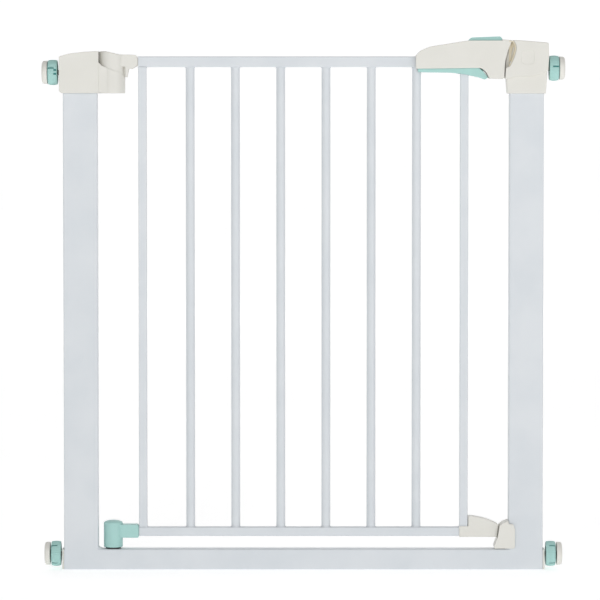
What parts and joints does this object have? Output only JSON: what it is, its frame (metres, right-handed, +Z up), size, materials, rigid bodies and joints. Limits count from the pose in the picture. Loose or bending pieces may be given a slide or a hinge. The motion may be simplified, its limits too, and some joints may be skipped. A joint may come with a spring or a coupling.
{
  "type": "safety baby gate",
  "caption": "Pressure-mounted safety gate: a steel frame screwed against two walls, with a barred door on a rising cam hinge and a two-action latch.",
  "frame": {"origin": "on the floor, under the middle of the sill", "axes": "+X across the gate to the latch side, +Y away from the viewer, +Z up"},
  "size_m": [0.762, 0.038, 0.7785],
  "materials": {
    "powder_coat": "satin powder coat",
    "cream_plastic": "satin moulded",
    "mint_plastic": "satin moulded",
    "keeper_plastic": "satin moulded",
    "zinc_steel": "zinc plated",
    "black_nylon": "matte",
    "grey_rubber": "matte"
  },
  "bodies": {
    "frame": {"sill": "powder_coat", "sill_plug_left": "cream_plastic", "sill_plug_right": "cream_plastic", "left_post": "powder_coat", "right_post": "powder_coat", "post_bush_left": "zinc_steel", "post_bush_right": "zinc_steel", "lower_pivot_pin": "zinc_steel", "lower_pivot_washer": "black_nylon", "lower_catch": "cream_plastic", "catch_screw": "zinc_steel", "hinge_cap": "cream_plastic", "hinge_cap_screw": "zinc_steel", "latch_receiver": "cream_plastic", "receiver_screw": "zinc_steel", "keeper_insert": "keeper_plastic"},
    "hinge_pin": {"upper_hinge_pin": "zinc_steel"},
    "door": {"upper_hinge_arm": "cream_plastic", "lower_hinge_foot": "mint_plastic", "lower_latch_nose": "cream_plastic", "door_top_rail": "powder_coat", "door_bottom_rail": "powder_coat", "door_hinge_upright": "powder_coat", "door_latch_upright": "powder_coat", "bar_1": "powder_coat", "bar_2": "powder_coat", "bar_3": "powder_coat", "bar_4": "powder_coat", "bar_5": "powder_coat", "bar_6": "powder_coat", "handle_front_shell": "cream_plastic", "handle_rear_shell": "cream_plastic", "handle_screw_1": "zinc_steel", "handle_screw_2": "zinc_steel", "trigger_pin": "zinc_steel", "bolt_spring": "zinc_steel", "lock_spring": "zinc_steel"},
    "trigger": {"trigger": "mint_plastic"},
    "latch_bolt": {"latch_bolt": "zinc_steel"},
    "lock_slider": {"lock_slider": "mint_plastic"},
    "upper_left_wheel": {"upper_left_wheel": "mint_plastic"},
    "upper_left_spindle": {"upper_left_spindle": "zinc_steel", "upper_left_cup": "cream_plastic", "upper_left_pad": "grey_rubber"},
    "upper_right_wheel": {"upper_right_wheel": "mint_plastic"},
    "upper_right_spindle": {"upper_right_spindle": "zinc_steel", "upper_right_cup": "cream_plastic", "upper_right_pad": "grey_rubber"},
    "lower_left_wheel": {"lower_left_wheel": "mint_plastic"},
    "lower_left_spindle": {"lower_left_spindle": "zinc_steel", "lower_left_cup": "cream_plastic", "lower_left_pad": "grey_rubber"},
    "lower_right_wheel": {"lower_right_wheel": "mint_plastic"},
    "lower_right_spindle": {"lower_right_spindle": "zinc_steel", "lower_right_cup": "cream_plastic", "lower_right_pad": "grey_rubber"}
  },
  "joints": [
    {"name": "door_lift", "type": "slide", "parent": "frame", "child": "hinge_pin", "axis": [0, 0, 1], "range_m": [0, 0.011]},
    {"name": "door_swing", "type": "hinge", "parent": "hinge_pin", "child": "door", "pos_m": [-0.2785, 0, 0.03], "axis": [0, 0, -1], "range_deg": [0, 90]},
    {"name": "trigger_squeeze", "type": "hinge", "parent": "door", "child": "trigger", "pos_m": [0.172, 0, 0.738], "axis": [0, -1, 0], "range_deg": [0, 5.5], "stiffness_Nm_per_rad": 2, "springref_deg": -2.86},
    {"name": "bolt_slide", "type": "slide", "parent": "door", "child": "latch_bolt", "axis": [-1, 0, 0], "range_m": [0, 0.008], "stiffness_N_per_m": 60, "springref_m": -0.004, "deforming": ["bolt_spring"]},
    {"name": "lock_slide", "type": "slide", "parent": "door", "child": "lock_slider", "axis": [-1, 0, 0], "range_m": [0, 0.008], "stiffness_N_per_m": 100, "springref_m": -0.004, "deforming": ["lock_spring"]},
    {"name": "upper_left_turn", "type": "hinge", "parent": "frame", "child": "upper_left_wheel", "pos_m": [-0.358, 0, 0.7264], "axis": [-1, 0, 0], "range_deg": [0, 5400]},
    {"name": "upper_left_reach", "type": "slide", "parent": "frame", "child": "upper_left_spindle", "axis": [-1, 0, 0], "range_m": [0, 0.03]},
    {"name": "upper_right_turn", "type": "hinge", "parent": "frame", "child": "upper_right_wheel", "pos_m": [0.358, 0, 0.7326], "axis": [1, 0, 0], "range_deg": [0, 5400]},
    {"name": "upper_right_reach", "type": "slide", "parent": "frame", "child": "upper_right_spindle", "axis": [1, 0, 0], "range_m": [0, 0.03]},
    {"name": "lower_left_turn", "type": "hinge", "parent": "frame", "child": "lower_left_wheel", "pos_m": [-0.358, 0, 0.0226], "axis": [-1, 0, 0], "range_deg": [0, 5400]},
    {"name": "lower_left_reach", "type": "slide", "parent": "frame", "child": "lower_left_spindle", "axis": [-1, 0, 0], "range_m": [0, 0.03]},
    {"name": "lower_right_turn", "type": "hinge", "parent": "frame", "child": "lower_right_wheel", "pos_m": [0.358, 0, 0.0226], "axis": [1, 0, 0], "range_deg": [0, 5400]},
    {"name": "lower_right_reach", "type": "slide", "parent": "frame", "child": "lower_right_spindle", "axis": [1, 0, 0], "range_m": [0, 0.03]}
  ],
  "couplings": [
    {"joint": "door_lift", "follows": "door_swing", "m_per_rad": 0.0070028},
    {"joint": "bolt_slide", "follows": "trigger_squeeze", "m_per_rad": 0.083},
    {"joint": "upper_left_reach", "follows": "upper_left_turn", "m_per_rad": 0.0003183},
    {"joint": "upper_right_reach", "follows": "upper_right_turn", "m_per_rad": 0.0003183},
    {"joint": "lower_left_reach", "follows": "lower_left_turn", "m_per_rad": 0.0003183},
    {"joint": "lower_right_reach", "follows": "lower_right_turn", "m_per_rad": 0.0003183}
  ]
}
